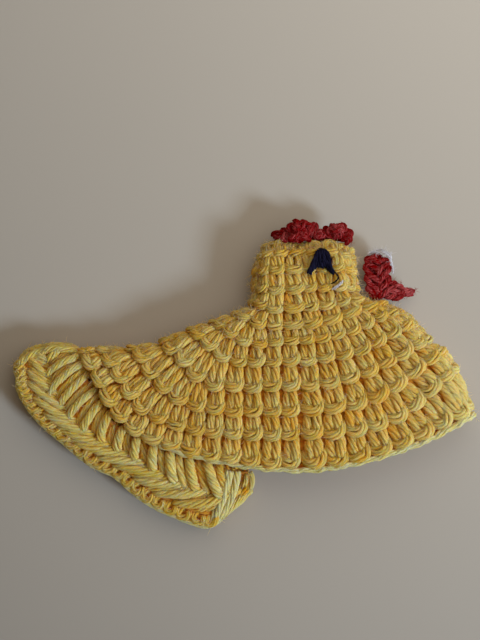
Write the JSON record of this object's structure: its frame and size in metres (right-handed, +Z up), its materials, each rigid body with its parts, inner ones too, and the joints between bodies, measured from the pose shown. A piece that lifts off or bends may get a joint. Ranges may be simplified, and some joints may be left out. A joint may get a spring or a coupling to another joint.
{
  "type": "egg cosy",
  "caption": "Crocheted hen-shaped egg cosy in yellow yarn, lying on its side: a pouch open along its hem, with a tail frill, red comb and wattle and a stitched eye.",
  "frame": {"origin": "middle of the footprint, on the surface that the cosy lies on", "axes": "+X towards the hen's breast, along its length; +Y towards its head; +Z up, through both layers"},
  "size_m": [0.1152, 0.0768, 0.0132],
  "materials": {
    "yellow_yarn": "soft plied yarn in single crochet, matt, with paler fibre tips and golden brown crevices",
    "red_yarn": "crimson plied yarn, matt and slightly fuzzy",
    "white_yarn": "fluffy white yarn",
    "navy_yarn": "navy yarn in satin stitches"
  },
  "bodies": {
    "root": {"body": "yellow_yarn", "frill": "yellow_yarn", "comb": "red_yarn", "wattle": "red_yarn", "beak": "white_yarn", "eye": "navy_yarn"}
  },
  "joints": []
}
